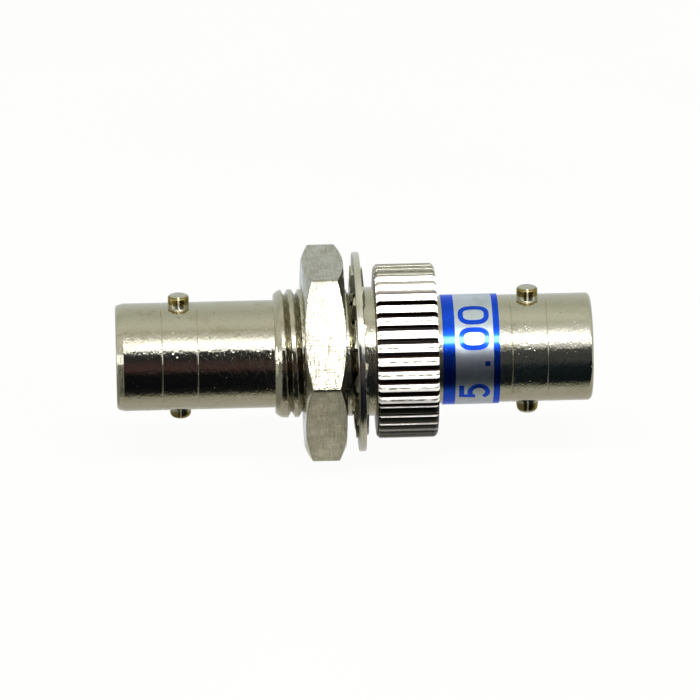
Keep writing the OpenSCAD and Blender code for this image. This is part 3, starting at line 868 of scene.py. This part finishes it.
class ATTENUATOR_OT_knurled_ring(bpy.types.Operator):
    """Makes the ring with its straight ribs"""
    bl_idname = "attenuator.knurled_ring"
    bl_label = "Knurled ring"

    def execute(self, context):
        sizes, finish = settings(context)
        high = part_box("knurled_ring")[1]
        end, outer = high.x, max(high.y, high.z)
        chamfer, rounding, soft = sizes.ring_chamfer, sizes.ring_round, 0.02 * MM
        first, flange_r, rear_r, web, ribbed_r = (n * MM for n in (0.06, 4.5, 4.05, 1.0, 4.9))
        profile = np.concatenate([
            [[0, outer - chamfer]],
            np.linspace([first, outer - chamfer + first], [chamfer, outer], 6),
            np.linspace([chamfer * 1.3, outer], [end - rounding, outer], 8)[:-1],
            arc(end - rounding, outer - rounding, rounding, 0, 90, steps=12),
            [[end, rear_r], [end - web, rear_r], [end - web, flange_r], [0, flange_r]]])
        pitch = rib_pitch(sizes, outer)
        half_mouth, half_floor = sizes.groove_w / 2, sizes.groove_floor_w / 2
        flank = half_mouth - half_floor
        steps = np.concatenate([
            [0, half_floor - soft, half_floor, half_floor + flank / 2, half_mouth - soft / 3,
             half_mouth + soft / 2, half_mouth + 1.5 * soft, half_mouth + 4 * soft],
            np.linspace(half_mouth + 6 * soft, pitch / 2, 4)[:-1]])
        one_rib = np.concatenate([-steps[:0:-1], steps, [pitch / 2]]) / outer
        angles = one_rib + sizes.rib_turn + full_turn(sizes.rib_count)[:, None]

        def ribs(x, r, a):
            """A groove is a flat floor between straight flanks, and its lips are eased.

            With d the way round from the nearest groove's middle, the floor lies at
            the groove's depth up to half its floor width and rises evenly to half its
            mouth. Past it the crest falls by a lip that fades out over 0.06 mm, and by
            the crown times the square of its share of the way from the rib's middle.
            """
            d = np.abs(((a - sizes.rib_turn) * outer + pitch / 2) % pitch - pitch / 2)
            dip = sizes.groove_depth * np.clip((half_mouth - d) / flank, 0, 1)
            lip = 0.03 * MM * np.clip(1 - (d - half_mouth) / (3 * soft), 0, 1) ** 2
            off_crest = np.clip((pitch / 2 - d) / (pitch / 2 - half_mouth), 0, 1)
            crest = outer - sizes.rib_crown * off_crest ** 2 - dip - lip
            return np.where(r > ribbed_r, np.clip(r - crest, 0, None), 0)

        closed_piece("knurled_ring_dressed",
                     [turned(profile, angles.ravel() % (2 * math.pi), ribs)],
                     (ring_material(finish, sizes, outer), "body", "bright_nickel_plated_brass",
                      "knurled_ring"), sharp_deg=45)
        return {"FINISHED"}


def hexagon(flat_r, rounding, along, corner_steps):
    """Outline (y, z) of a hexagon with flats at +Z and -Z and rounded corners."""
    corners = []
    for middle in np.radians(np.arange(0, 360, 60)):
        a = middle + np.radians(np.linspace(-30, 30, corner_steps))
        far = (flat_r - rounding) / math.cos(math.radians(30))
        corners.append(np.stack([far * math.cos(middle) + rounding * np.cos(a),
                                 far * math.sin(middle) + rounding * np.sin(a)], 1))
    points = []
    for corner, after in zip(corners, corners[1:] + corners[:1]):
        points += [corner, np.linspace(corner[-1], after[0], along + 2)[1:-1]]
    return np.concatenate(points)


class ATTENUATOR_OT_panel_nut(bpy.types.Operator):
    """Makes the chamfered hexagon nut with its threaded bore"""
    bl_idname = "attenuator.panel_nut"
    bl_label = "Panel nut"

    def execute(self, context):
        sizes, finish = settings(context)
        low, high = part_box("panel_nut")
        flat_r, front, rear, pitch = high.z, low.x, high.x, sizes.thread_pitch
        bore, lead, soft = sizes.nut_bore_d / 2, sizes.nut_bore_chamfer, 0.035 * MM
        outline = hexagon(flat_r, sizes.nut_edge, along=28, corner_steps=5)
        far = np.linalg.norm(outline, axis=1)
        y, z = (outline / far[:, None]).T
        drop = np.clip(far - flat_r, 0, None) * math.tan(sizes.nut_chamfer) + 0.012 * MM

        def groove(x):
            """Depth of the bore's thread, which follows the angle round the axis."""
            share = np.arctan2(z, y) / (2 * math.pi)
            gap = np.abs(((x - front) / pitch - share + 0.5) % 1 - 0.5) * pitch
            return np.clip(0.26 * MM - gap / THREAD_FLANK, 0, None)

        rows = [(front, flat_r - 0.06 * MM), (front + drop - soft / 2, far - soft),
                (front + drop + soft, far), (rear - drop - soft, far),
                (rear - drop + soft / 2, far - soft), (rear, flat_r - 0.06 * MM),
                (rear, bore + lead)]
        rows += [(x, bore + groove(x)) for x in np.linspace(rear - lead, front + lead, 60)]
        rows.append((front, bore + lead))
        points = np.stack([np.stack(np.broadcast_arrays(x, r * y, r * z), 1) for x, r in rows])
        closed_piece("panel_nut_dressed", [shell(points, True, True)],
                     (nut_material(finish, sizes), "nut", "bright_nickel_plated_brass",
                      "panel_nut"), sharp_deg=28)
        return {"FINISHED"}


def tooth(sizes, middle, turn, tip, root, half):
    """Shell of one tooth: a rounded flat section carried out along its radius.

    At each radius the section turns by the twist, which grows a little towards the
    tip, and narrows slightly there. The ends are closed to their middle points.
    """
    steps, around, power = 12, 24, 0.35
    out, a = np.linspace(tip, root, steps)[:, None], full_turn(around)
    share = (out - tip) / (root - tip)
    twist = sizes.tooth_twist * (1.0 - 0.35 * share)
    w = sizes.tooth_w / 2 * (0.97 + 0.03 * share) * squared(np.cos(a), power)
    t = half * 0.98 * squared(np.sin(a), power)
    grid = np.stack(np.broadcast_arrays(out, t * np.cos(twist) + w * np.sin(twist),
                                        w * np.cos(twist) - t * np.sin(twist)), -1)
    radial, along, side = np.concatenate([grid.reshape(-1, 3), grid[[0, -1]].mean(1)]).T
    points = np.stack([middle + along, side * np.cos(turn) - radial * np.sin(turn),
                       side * np.sin(turn) + radial * np.cos(turn)], 1)
    ring, base = np.arange(around), (steps - 1) * around
    after, centre = (ring + 1) % around, np.full(around, steps * around)
    first = np.stack([centre, after, ring], 1)
    last = np.stack([centre + 1, base + ring, base + after], 1)
    return points, [grid_faces(steps, around, False, True), first, last]


class ATTENUATOR_OT_lock_washer(bpy.types.Operator):
    """Makes the lock washer with its twisted inner teeth"""
    bl_idname = "attenuator.lock_washer"
    bl_label = "Lock washer"

    def execute(self, context):
        sizes, finish = settings(context)
        low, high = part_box("lock_washer")
        middle, outer, half, ease = (low.x + high.x) / 2, high.y, 0.25 * MM, 0.03 * MM
        inner, tip = outer - sizes.washer_rim_w, sizes.collar_d / 2 + 0.08 * MM
        left = np.array([
            [-half, inner + ease], [-half, outer - 0.2 * MM], [-half, outer - 0.07 * MM],
            [-half + 0.02 * MM, outer - 0.02 * MM], [-half + 0.07 * MM, outer]])
        profile = np.concatenate([left, left[::-1] * [-1, 1],
                                  [[half - ease, inner], [ease - half, inner]]])
        shells = [turned(profile + [middle, 0], full_turn(192))]
        shells += [tooth(sizes, middle, turn, tip, inner + 0.25 * MM, half)
                   for turn in full_turn(sizes.tooth_count)]
        lean_cos, lean_sin = math.cos(sizes.washer_lean), math.sin(sizes.washer_lean)
        for points, _ in shells:
            x, z = points[:, 0] - middle, points[:, 2].copy()
            points[:, 0] = middle + x * lean_cos - z * lean_sin
            points[:, 2] = x * lean_sin + z * lean_cos
        closed_piece("lock_washer_dressed", shells,
                     (washer_material(finish, outer), "washer", "nickel_plated_spring_bronze",
                      "lock_washer"), sharp_deg=35)
        return {"FINISHED"}


def pin(sizes, x, side, reach, flare, cut):
    """Shell of a pin: rings of (radius, height) round a line along Z.

    The foot of its head follows the barrel, so its height is the root of barrel
    radius squared less y squared. A flare widens the head towards its foot.
    """
    a, head, shank = full_turn(48), sizes.pin_head_d / 2, sizes.pin_shank_d / 2
    barrel_r, low = sizes.barrel_d / 2 - 0.03 * MM, sizes.chamber_d / 2 + PLAY
    rings = [(0, reach), (head - cut * 1.25, reach), (head - cut * 0.7, reach - cut * 0.25),
             (head - cut * 0.2, reach - cut * 0.8), (head, reach - cut * 1.4),
             (head + flare * 0.1, reach - 0.45 * (reach - barrel_r)), (head + flare, None),
             (shank, None), (shank, low), (0, low)]
    rows = []
    for radius, height in rings:
        y = radius * np.sin(a)
        z = np.sqrt(barrel_r ** 2 - y ** 2) if height is None else height
        rows.append(np.stack(np.broadcast_arrays(x + radius * np.cos(a), y, side * z), 1))
    return shell(np.stack(rows), False, True)


class ATTENUATOR_OT_bayonet_pins(bpy.types.Operator):
    """Makes the four pins that the plugs' bayonet rings lock on"""
    bl_idname = "attenuator.bayonet_pins"
    bl_label = "Bayonet pins"

    def execute(self, context):
        sizes, finish = settings(context)
        material = pin_material(finish)
        for node, (x, side, reach) in pin_spots().items():
            flare = 0.1 * MM if node == "rear_bottom_pin" else 0.0
            cut = sizes.pin_chamfer * (1 if side > 0 else 2)
            closed_piece(node + "_dressed", [pin(sizes, x, side, reach, flare, cut)],
                         (material, "body", "thinly_plated_brass_pin", node), sharp_deg=40)
        return {"FINISHED"}


def five_strokes(sizes):
    """A five in three strokes: the flag, the stem, and a bowl that is most of an ellipse."""
    w, h, s = sizes.figure_w / 2, sizes.figure_h, sizes.stroke_w / 2
    flag = np.linspace([w - s, h - s], [-w + 1.2 * s, h - s], 24)
    stem = np.array([[-w + 2.2 * s, h - 0.6 * s], [-w + 1.6 * s, 0.5 * h - 0.3 * s]])
    tall = 0.325 * h - s / 2
    a = np.radians(np.linspace(143, -148, 44))
    bowl = np.stack([-0.06 * w + (0.98 * w - s) * np.cos(a), s + tall + tall * np.sin(a)], 1)
    return [flag, stem, bowl]


def zero_path(sizes):
    """A zero: a closed oval with flattened sides."""
    s, h, a = sizes.stroke_w / 2, sizes.figure_h / 2, full_turn(72)
    u = (sizes.figure_w / 2 - s) * squared(np.cos(a), 0.72)
    return np.stack([u, h + (h - s) * squared(np.sin(a), 0.72)], 1)


def dot_path(sizes):
    """A full stop: a stroke as long as it is wide."""
    s = sizes.stroke_w / 2
    return np.stack([np.linspace(-s, s, 6), np.full(6, s)], 1)


class ATTENUATOR_OT_value_label(bpy.types.Operator):
    """Makes the foil label round the rear barrel with its stripes and figures"""
    bl_idname = "attenuator.value_label"
    bl_label = "Value label"

    def execute(self, context):
        sizes, finish = settings(context)
        low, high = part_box("value_label")
        outer, inner = high.z - 0.012 * MM, high.z - 0.1 * MM
        foil = foil_material("satin silver foil", finish.foil, roughness=0.33, coat=0.0)
        ink = foil_material("blue ink on foil", finish.ink, roughness=0.22, coat=0.6)
        left, right = low.x + sizes.stripe_left, high.x - sizes.stripe_right
        around = np.radians(np.linspace(4, 356, 180))
        for start, end, name, material in ((low.x, left, "label_wide_stripe", ink),
                                           (left, right, "label_field", foil),
                                           (right, high.x, "label_narrow_stripe", ink)):
            section = np.array([[start, inner], [start, outer], [end, outer], [end, inner]])
            closed_piece(name, [open_band(section, around, [[3, 2, 1, 0]])],
                         (material, "body", "silver_foil_label", "value_label"), sharp_deg=40)
        base = (left + right) / 2 + sizes.figure_h / 2
        figures = [(-30.8, stroke, False) for stroke in five_strokes(sizes)]
        figures += [(30.6, zero_path(sizes), True), (58.2, zero_path(sizes), True),
                    (4.0, dot_path(sizes), False)]
        sunk, raised, shells = -0.02 * MM, 0.011 * MM, []
        for middle_deg, path, closed in figures:
            def place(points, height, middle=math.radians(middle_deg)):
                """Up on a figure runs to -X, and to the right runs up round the barrel."""
                a, r = middle + points[:, 0] / outer, outer + height
                return np.stack([base - points[:, 1], -r * np.cos(a), r * np.sin(a)], 1)
            shells.append(swept_box(path, sizes.stroke_w / 2, sunk, raised, place, closed))
        closed_piece("label_figures", shells,
                     (ink, "body", "silver_foil_label", "value_label"), sharp_deg=40)
        return {"FINISHED"}


def holder_profile(plane, tip, way):
    """Profile of a sleeve holder from its flange at the plane out to its lip at the tip."""
    flange, lip = plane + way * 0.98 * MM, tip - way * 0.4 * MM
    sleeve_r, flange_r, tube_r, tip_r, lip_r = (n * MM for n in (1.65, 2.8, 2.2, 2.0, 1.45))
    return softened([[plane, sleeve_r], [plane, flange_r], [flange, flange_r], [flange, tube_r],
                     [tip - way * 0.2 * MM, tube_r], [tip, tip_r], [tip, lip_r], [lip, lip_r],
                     [lip, sleeve_r]], EASE)


def slit_tube(start, end):
    """Shell of a tube with a slit: a soft-edged section carried round less than a full turn."""
    inner, outer, soft = 1.25 * MM, 1.6 * MM, 0.06 * MM
    section = np.array([
        [start, inner + soft], [start + soft, inner], [end - soft, inner], [end, inner + soft],
        [end, outer - soft], [end - soft, outer], [start + soft, outer], [start, outer - soft]])
    half_slit = 0.4 * MM / (inner + outer)
    around = math.pi / 2 + np.linspace(half_slit, 2 * math.pi - half_slit, 120)
    return open_band(section, around, [[3, 2, 1, 0], [4, 3, 0, 7], [5, 4, 7, 6]])


class ATTENUATOR_OT_socket_insides(bpy.types.Operator):
    """Makes the sleeve holders and split sleeves, and finishes the hidden optics"""
    bl_idname = "attenuator.socket_insides"
    bl_label = "Socket insides"

    def execute(self, context):
        finish = settings(context)[1]
        nickel = nickel_plate("nickel plate inside the sockets", finish.nickel,
                              finish.worn_nickel, roughness=0.14, peel_mm=0.2, ripple=0.004)[0]
        ceramic = ceramic_material(finish)
        for end, way in (("front", -1), ("rear", 1)):
            low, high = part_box(end + "_sleeve_holder")
            plane, tip = (low.x, high.x)[::way]
            closed_piece(end + "_holder_dressed",
                         [turned(holder_profile(plane, tip, way), full_turn(128))],
                         (nickel, "body", "nickel_plated_brass", end + "_sleeve_holder"),
                         sharp_deg=38)
            low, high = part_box(end + "_split_sleeve")
            closed_piece(end + "_sleeve_dressed", [slit_tube(low.x, high.x)],
                         (ceramic, "body", "zirconia", end + "_split_sleeve"), sharp_deg=38)
        lens = glass_material("rod lens glass", finish.lens_glass, ior=1.6)
        grey = glass_material("neutral filter glass", finish.filter_glass, ior=1.52)
        hidden = {"lens_tube": steel_material(finish), "front_lens": lens, "rear_lens": lens,
                  "filter_disc": grey}
        for node, material in hidden.items():
            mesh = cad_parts[node].data
            mesh.materials.clear()
            mesh.materials.append(material)
        return {"FINISHED"}


# The studio

def sheet(name, points, faces, material):
    """A mesh of the studio with its material."""
    mesh = new_mesh(name, points, faces)
    mesh.materials.append(material)
    return link_object(name, mesh)


def glowing(name):
    """A material without a shader, and the way to add its nodes."""
    material = bpy.data.materials.new(name)
    return material, emptied(material)


def keep_to_mirrors(card):
    """Hides a card from the camera and from all light that isn't a reflection or bounce."""
    card.visible_camera = card.visible_shadow = card.visible_transmission = False


def make_floor():
    """A wide white sheet that glows, so that shadows on it stay faint."""
    half, lowest = 1.2, SOLID_BOUNDS[0][2]
    material, add, shader, place = new_material("white paper sweep")
    pale = add("mix", grain(add, place, 40.0, 2.0), "#FDFDFC", "#FBFBFA")
    feed(shader, {"Base Color": pale, "Roughness": 0.9})
    surface = shader.outputs["BSDF"].links[0].to_node
    both = add("both", 0.004, add("glow", pale, 1.0), shader.outputs["BSDF"])
    feed(surface, {"Surface": both})
    corners = [(-half, -half, lowest), (half, -half, lowest),
               (half, half, lowest), (-half, half, lowest)]
    floor = sheet("floor", corners, [(0, 1, 2, 3)], material)
    floor.visible_glossy = floor.visible_diffuse = False


# Elevations in degrees, counted up from the front, and what stands there: the grey
# fields under, behind and over the object, and on the front side the dark table, a
# brown-grey zone and the white window, as each stretch of the object mirrors them.
UNDER = [(-150, "#D0CECC"), (-120, "#BBB8AE")]
BEHIND = [(120, "#C6C8B8"), (155, "#D2D6D0"), (200, "#DADEE2")]
SKY = [(62, "#E8E6DC"), (71, "#C8C6B6"), (80, "#D8D7C8"), (90, "#DEDDCF")] + BEHIND
REAR_TABLE = UNDER + [(-100, "#BAB5A8"), (-80, "#B6B6A8"), (-71, "#88897C"), (-61, "#1E2220")]
REAR_SKY = [(23, "#FFFFFF"), (56, "#FFFFFF"), (66, "#E4E4DA"), (73, "#D4D7C8"), (82, "#E2E5D6"),
            (92, "#E2E4D6")] + BEHIND
CARDS = {
    "front": UNDER + [(-100, "#BAB5A8"), (-81, "#ABA89A"), (-73, "#787669"), (-64, "#1E1E1C"),
                      (-50, "#101116"), (-20, "#141418"), (-8, "#4C3938"), (5, "#453636"),
                      (13, "#2E2D2E"), (26, "#3C3D40"), (33, "#FFFFFF"), (50, "#FFFFFF")] + SKY,
    "middle": UNDER + [(-100, "#A5A496"), (-89, "#55574E"), (-81, "#363930"), (-50, "#2A2F29"),
                       (-26, "#353833"), (-7, "#505045"), (10, "#66685C"), (22, "#8C8B84"),
                       (28, "#9A9A92"), (33, "#FFFFFF"), (54, "#FFFFFF")] + SKY,
    "rear": REAR_TABLE + [(-50, "#14191C"), (-22, "#1B2226"), (-8, "#444649"), (6, "#48494B"),
                          (15, "#585859")] + REAR_SKY,
    "print": REAR_TABLE + [(-50, "#182026"), (-22, "#202A31"), (-8, "#4A5056"), (6, "#4E5459"),
                           (15, "#60676D")] + REAR_SKY,
    "aside": [(-150, "#9C9A92"), (-120, "#8E8C82"), (-81, "#88877C"), (-64, "#8C8C82"),
              (0, "#84847A"), (4, "#FFFFFF"), (26, "#FFFFFF"), (31, "#C9C7BC")] + SKY,
}
CARD_LOW, CARD_HIGH = -150.0, 205.0


def level(degree):
    """Share of an elevation between the card tube's lowest and its highest."""
    return (degree - CARD_LOW) / (CARD_HIGH - CARD_LOW)


def card_material():
    """Grey cards with a soft white window, told apart by where along the axis they stand.

    Glares add strength between two soft pairs of elevations: in the window ahead, in
    a narrow lamp that the print mirrors, in the window's side part, and under the nut.
    """
    material, add = glowing("grey cards with a soft white window")
    spot = add("parts", add("own map"))
    along, up = spot["X"], spot["Y"]
    ramps = {}
    for name, pairs in CARDS.items():
        ramps[name] = add("stops", up)
        elements = ramps[name].node.color_ramp.elements
        while len(elements) < len(pairs):
            elements.new(0.5)
        for element, (degree, hex_colour) in zip(elements, pairs):
            element.position = level(degree)
            element.color = (*linear(hex_colour), 1.0)
    before_print = band(add, along, 0.513, 0.5145, 0.522, 0.5235)
    under_nut = band(add, along, 0.4985, 0.4995, 0.503, 0.504)
    aside = add("step", along, 0.366, 0.43, 1.0, 0.0)
    tone = add("mix", add("step", along, 0.5025, 0.5045), ramps["front"], ramps["middle"])
    tone = add("mix", add("step", along, 0.5095, 0.5125), tone, ramps["rear"])
    tone = add("mix", before_print, tone, ramps["print"])
    tone = add("mix", aside, tone, ramps["aside"])
    power = 1.0
    for degrees, extra, where in (((25, 31, 44, 62), 1.2, add("SUBTRACT", 1.0, aside)),
                                  ((30, 35, 42, 48), 46.0, before_print),
                                  ((2, 5, 25, 28), 0.8, aside),
                                  ((-95, -89, -74, -68), 0.9, under_nut)):
        glare = add("MULTIPLY", band(add, up, *map(level, degrees)), where, extra)
        power = add("ADD", power, glare)
    add("surface", add("glow", tone, power))
    return material


def cloth_material():
    """Black cloth with a white board low in front, which only diffuse surfaces see."""
    material, add = glowing("black cloth and a white board")
    up = add("parts", add("own map"))["Y"]
    board = band(add, up, *map(level, (-62, -50, -4, 10)))
    add("surface", add("glow", add("mix", board, "#1E1E1F", "#FFFFFF"), 1.5))
    return material


def make_card_tubes():
    """A tube of cards round the object that its mirrors see, and one that its matt parts see.

    The points lie at reach times the cosine and sine of their elevation. The map's
    first coordinate is the place along the axis, its second the elevation, both
    brought to 0 to 1.
    """
    reach, half = 0.15, 0.4
    degrees, x = np.linspace(CARD_LOW, CARD_HIGH, 143), np.linspace(-half, half, 41)
    a = np.radians(degrees)
    points = np.stack(np.broadcast_arrays(x[None, :], -reach * np.cos(a)[:, None],
                                          reach * np.sin(a)[:, None]), -1)
    quads = grid_faces(len(a), len(x), False, False)
    place = np.stack([(np.tile(x, len(a)) + half) / (2 * half),
                      np.repeat(level(degrees), len(x))], 1)[quads.ravel()]
    for name, material in (("card_tube", card_material()), ("dark_tube", cloth_material())):
        tube = sheet(name, points.reshape(-1, 3), quads.tolist(), material)
        layer = tube.data.uv_layers.new(name="place")
        layer.data.foreach_set("uv", place.astype(np.float32).ravel())
        if name == "card_tube":
            tube.visible_diffuse = False
        else:
            tube.visible_glossy = False
        keep_to_mirrors(tube)


def make_side_card():
    """A bright card out to the side of the front mouth, seen in faces that look that way."""
    x, y, z = -0.3, (-0.1, 0.02), (-0.035, 0.043)
    material, add = glowing("bright side card")
    tone = add("mix", grain(add, add("object place"), 60.0, 1.0), "#FFFFFF", "#F2F0EA")
    add("surface", add("glow", tone, 2.6))
    corners = [(x, y[0], z[0]), (x, y[1], z[0]), (x, y[1], z[1]), (x, y[0], z[1])]
    keep_to_mirrors(sheet("side_card", corners, [(0, 1, 2, 3)], material))


def make_lights(scene):
    """A pale sky and one wide area light over the object, its elevation counted from the front."""
    scene.world = bpy.data.worlds.new("studio")
    add = emptied(scene.world)
    add("world", add("sky", "#CDCDC0", 1.0))
    elevation, distance = math.radians(74.0), 0.4
    light = bpy.data.lights.new("key", "AREA")
    light.shape = "RECTANGLE"
    light.size, light.size_y, light.energy = 0.5, 0.08, 13.0
    lamp = link_object("key", light)
    lamp.location = (0, -distance * math.cos(elevation), distance * math.sin(elevation))
    lamp.rotation_euler = (math.pi / 2 - elevation, 0, 0)
    lamp.visible_glossy = False


def make_camera(scene):
    """A long lens 20 degrees up, turned 2 degrees towards the front mouth.

    The roll makes the part's axis climb to the right in the picture as it does
    in the photograph.
    """
    up_deg, yaw_deg, climb_deg, far, pixels_per_mm, picture = 20.0, 2.1, 1.40, 0.5, 13.45, 700
    e, yaw = math.radians(up_deg), math.radians(yaw_deg)
    ahead = Vector((math.sin(yaw) * math.cos(e), math.cos(yaw) * math.cos(e), -math.sin(e)))
    right = Vector((math.cos(yaw), -math.sin(yaw), 0))
    up = right.cross(ahead)
    roll = math.radians(climb_deg) - math.atan2(up.x, right.x)
    right, up = (right * math.cos(roll) - up * math.sin(roll),
                 up * math.cos(roll) + right * math.sin(roll))
    data = bpy.data.cameras.new("camera")
    data.sensor_width = 36.0
    data.lens = pixels_per_mm * far / MM * data.sensor_width / picture
    data.clip_start, data.clip_end = 0.01, 10.0
    camera = link_object("camera", data)
    aim = Vector((-1.85 * MM, 0, 0)) + up * (1.8 / pixels_per_mm * MM)
    turn = Matrix((right, up, -ahead)).transposed().to_4x4()
    camera.matrix_world = Matrix.Translation(aim - ahead * far) @ turn
    scene.camera = camera


class ATTENUATOR_OT_studio(bpy.types.Operator):
    """Sets the floor, the cards that the metal mirrors, the light and the camera"""
    bl_idname = "attenuator.studio"
    bl_label = "Studio"

    def execute(self, context):
        context.scene.view_settings.view_transform = "Standard"
        make_floor()
        make_card_tubes()
        make_side_card()
        make_lights(context.scene)
        make_camera(context.scene)
        return {"FINISHED"}


OPERATORS = (
    ATTENUATOR_OT_studio,
    ATTENUATOR_OT_front_body,
    ATTENUATOR_OT_rear_body,
    ATTENUATOR_OT_knurled_ring,
    ATTENUATOR_OT_panel_nut,
    ATTENUATOR_OT_lock_washer,
    ATTENUATOR_OT_bayonet_pins,
    ATTENUATOR_OT_value_label,
    ATTENUATOR_OT_socket_insides,
)


class ATTENUATOR_PT_pieces(bpy.types.Panel):
    """Lists the pieces and the sizes and colours they are made with"""
    bl_idname = "ATTENUATOR_PT_pieces"
    bl_label = "Fibre attenuator"
    bl_space_type = "VIEW_3D"
    bl_region_type = "UI"
    bl_category = "Attenuator"

    def draw(self, context):
        layout = self.layout
        for operator in OPERATORS:
            layout.operator(operator.bl_idname)
        for group in (context.scene.attenuator_sizes, context.scene.attenuator_finish):
            box = layout.box()
            for key in group.bl_rna.properties.keys():
                if key not in ("rna_type", "name"):
                    box.prop(group, key)


CLASSES = (AttenuatorSizes, AttenuatorFinish, *OPERATORS, ATTENUATOR_PT_pieces)


def register():
    for item in CLASSES:
        bpy.utils.register_class(item)
    bpy.types.Scene.attenuator_sizes = PointerProperty(type=AttenuatorSizes)
    bpy.types.Scene.attenuator_finish = PointerProperty(type=AttenuatorFinish)


def unregister():
    del bpy.types.Scene.attenuator_finish
    del bpy.types.Scene.attenuator_sizes
    for item in reversed(CLASSES):
        bpy.utils.unregister_class(item)


def main():
    register()
    for operator in OPERATORS:
        group, name = operator.bl_idname.split(".")
        getattr(getattr(bpy.ops, group), name)()


if __name__ == "__main__":
    main()
